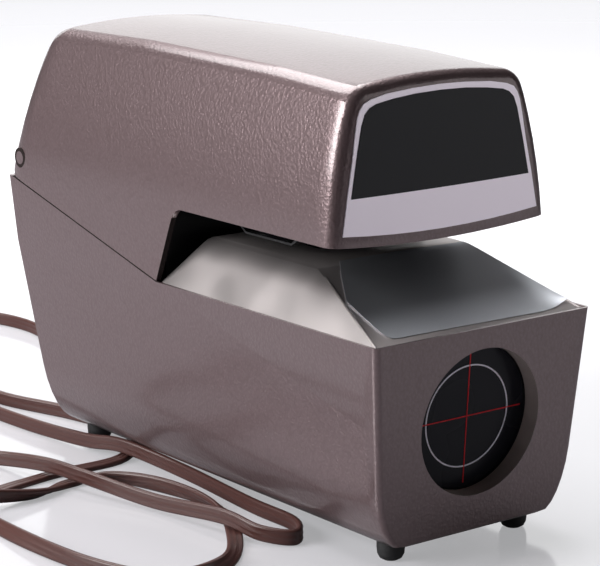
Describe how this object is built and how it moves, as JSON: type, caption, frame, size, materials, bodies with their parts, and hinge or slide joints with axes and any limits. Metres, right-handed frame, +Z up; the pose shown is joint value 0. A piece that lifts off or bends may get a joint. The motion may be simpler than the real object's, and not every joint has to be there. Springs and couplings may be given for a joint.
{
  "type": "date and time stamp machine",
  "caption": "Electric desk stamp: paper pushed into the throat trips a trigger, and a solenoid swings a platen up against inked time and date wheels under a hinged cover.",
  "frame": {"origin": "middle of the object's footprint, on the surface it stands on (the free cord left out)", "axes": "+X to the right seen from the front, +Y to the back, +Z up; the round window faces -Y"},
  "size_m": [0.2371, 0.5574, 0.2223],
  "materials": {
    "case_paint": "hammered gloss enamel, taupe",
    "plate_steel": "plain sheet",
    "steel": "turned",
    "rubber": "matt",
    "stainless": "fine satin, nearly mirror",
    "foil": "bright foil, bare",
    "plate_aluminium": "satin, bare",
    "panel_black": "satin, bare",
    "bush_plastic": "moulded",
    "lock_chrome": "polished",
    "guard_black": "matt",
    "type_brass": "machined",
    "gear_brass": "machined",
    "motor_shell": "satin",
    "spool_plastic": "moulded",
    "ribbon_fabric": "inked",
    "cast_iron": "as cast",
    "spring_steel": "drawn wire",
    "coil_tape": "wrapped tape",
    "switch_plastic": "moulded",
    "disc_black": "gloss with a pale ring and thin red lines",
    "board_brown": "board with parts",
    "relief_rubber": "moulded",
    "cord_brown": "soft vinyl",
    "pin_brass": "stamped"
  },
  "bodies": {
    "base": {"base_case": "case_paint", "bottom_plate": "plate_steel", "case_screws": "steel", "rubber_feet": "rubber", "deck_plate": "stainless", "foil_label": "foil", "hinge_pins": "case_paint", "hinge_bracket": "plate_steel", "latch_bracket": "plate_steel", "side_plate_left": "plate_steel", "side_plate_right": "plate_steel", "tie_rods": "steel", "frame_screws": "steel", "ribbon_guard": "guard_black", "paper_stop": "guard_black", "type_axle": "steel", "idler_stud": "steel", "clock_motor": "motor_shell", "spool_carrier": "plate_steel", "ribbon": "ribbon_fabric", "ribbon_rollers": "steel", "arm_shaft": "steel", "return_spring": "spring_steel", "solenoid_frame": "plate_steel", "solenoid_coil": "coil_tape", "trigger_pin": "steel", "trigger_switch": "switch_plastic", "indicator_plate": "plate_steel", "indicator_motor": "motor_shell", "control_board": "board_brown", "strain_relief": "relief_rubber", "power_cord": "cord_brown", "plug_body": "cord_brown", "plug_pins": "pin_brass"},
    "cover": {"cover": "case_paint", "front_plate": "plate_aluminium", "front_panel": "panel_black", "hinge_bushes": "bush_plastic", "lock_barrel": "lock_chrome"},
    "lock": {"lock_cam": "steel"},
    "minute_train": {"minute_wheel": "type_brass", "minute_gear": "gear_brass"},
    "hour_train": {"hour_wheel": "type_brass"},
    "day_train": {"day_wheel": "type_brass"},
    "month_train": {"month_wheel": "type_brass"},
    "year_train": {"year_wheel": "type_brass"},
    "idler": {"idler_gear": "gear_brass"},
    "pinion": {"motor_pinion": "gear_brass"},
    "left_spool": {"spool_left": "spool_plastic"},
    "right_spool": {"spool_right": "spool_plastic"},
    "platen": {"platen_arm": "cast_iron", "platen_pad": "rubber"},
    "solenoid_plunger": {"plunger": "steel"},
    "trigger": {"paper_trigger": "steel"},
    "indicator": {"indicator_disc": "disc_black"}
  },
  "joints": [
    {"name": "cover_hinge", "type": "hinge", "parent": "base", "child": "cover", "pos_m": [0, 0.141, 0.15], "axis": [-1, 0, 0], "range_deg": [0, 75]},
    {"name": "lock_turn", "type": "hinge", "parent": "cover", "child": "lock", "pos_m": [0.06, 0.07, 0.16], "axis": [-1, 0, 0], "range_deg": [0, 90]},
    {"name": "minute_turn", "type": "hinge", "parent": "base", "child": "minute_train", "pos_m": [0, -0.045, 0.157], "axis": [1, 0, 0], "continuous": true},
    {"name": "hour_turn", "type": "hinge", "parent": "base", "child": "hour_train", "pos_m": [0, -0.045, 0.157], "axis": [1, 0, 0], "continuous": true},
    {"name": "day_turn", "type": "hinge", "parent": "base", "child": "day_train", "pos_m": [0, -0.045, 0.157], "axis": [1, 0, 0], "continuous": true},
    {"name": "month_turn", "type": "hinge", "parent": "base", "child": "month_train", "pos_m": [0, -0.045, 0.157], "axis": [1, 0, 0], "continuous": true},
    {"name": "year_turn", "type": "hinge", "parent": "base", "child": "year_train", "pos_m": [0, -0.045, 0.157], "axis": [1, 0, 0], "continuous": true},
    {"name": "idler_turn", "type": "hinge", "parent": "base", "child": "idler", "pos_m": [0.026, -0.00441, 0.17178], "axis": [1, 0, 0], "continuous": true},
    {"name": "pinion_turn", "type": "hinge", "parent": "base", "child": "pinion", "pos_m": [0.026, 0.02429, 0.16926], "axis": [1, 0, 0], "continuous": true},
    {"name": "left_spool_turn", "type": "hinge", "parent": "base", "child": "left_spool", "pos_m": [-0.04225, -0.045, 0.165], "axis": [0, 1, 0], "continuous": true},
    {"name": "right_spool_turn", "type": "hinge", "parent": "base", "child": "right_spool", "pos_m": [0.04225, -0.045, 0.165], "axis": [0, 1, 0], "continuous": true},
    {"name": "platen_swing", "type": "hinge", "parent": "base", "child": "platen", "pos_m": [0, 0, 0.098], "axis": [-1, 0, 0], "range_deg": [0, 9]},
    {"name": "plunger_slide", "type": "slide", "parent": "base", "child": "solenoid_plunger", "axis": [0, 0, -1], "range_m": [0, 0.00626], "stiffness_N_per_m": 400, "springref_m": -0.01, "deforming": ["return_spring"]},
    {"name": "trigger_swing", "type": "hinge", "parent": "base", "child": "trigger", "pos_m": [0.014, -0.014, 0.108], "axis": [-1, 0, 0], "range_deg": [0, 10], "stiffness_Nm_per_rad": 0.02, "springref_deg": -17.19},
    {"name": "indicator_turn", "type": "hinge", "parent": "base", "child": "indicator", "pos_m": [0, -0.15057, 0.0615], "axis": [0, 0.997, 0.0768], "continuous": true}
  ],
  "couplings": [
    {"joint": "idler_turn", "follows": "minute_turn", "ratio": -0.8},
    {"joint": "pinion_turn", "follows": "minute_turn", "ratio": 4},
    {"joint": "hour_turn", "follows": "minute_turn", "ratio": 0.041667},
    {"joint": "right_spool_turn", "follows": "left_spool_turn", "ratio": 1.2},
    {"joint": "plunger_slide", "follows": "platen_swing", "m_per_rad": 0.039835}
  ]
}
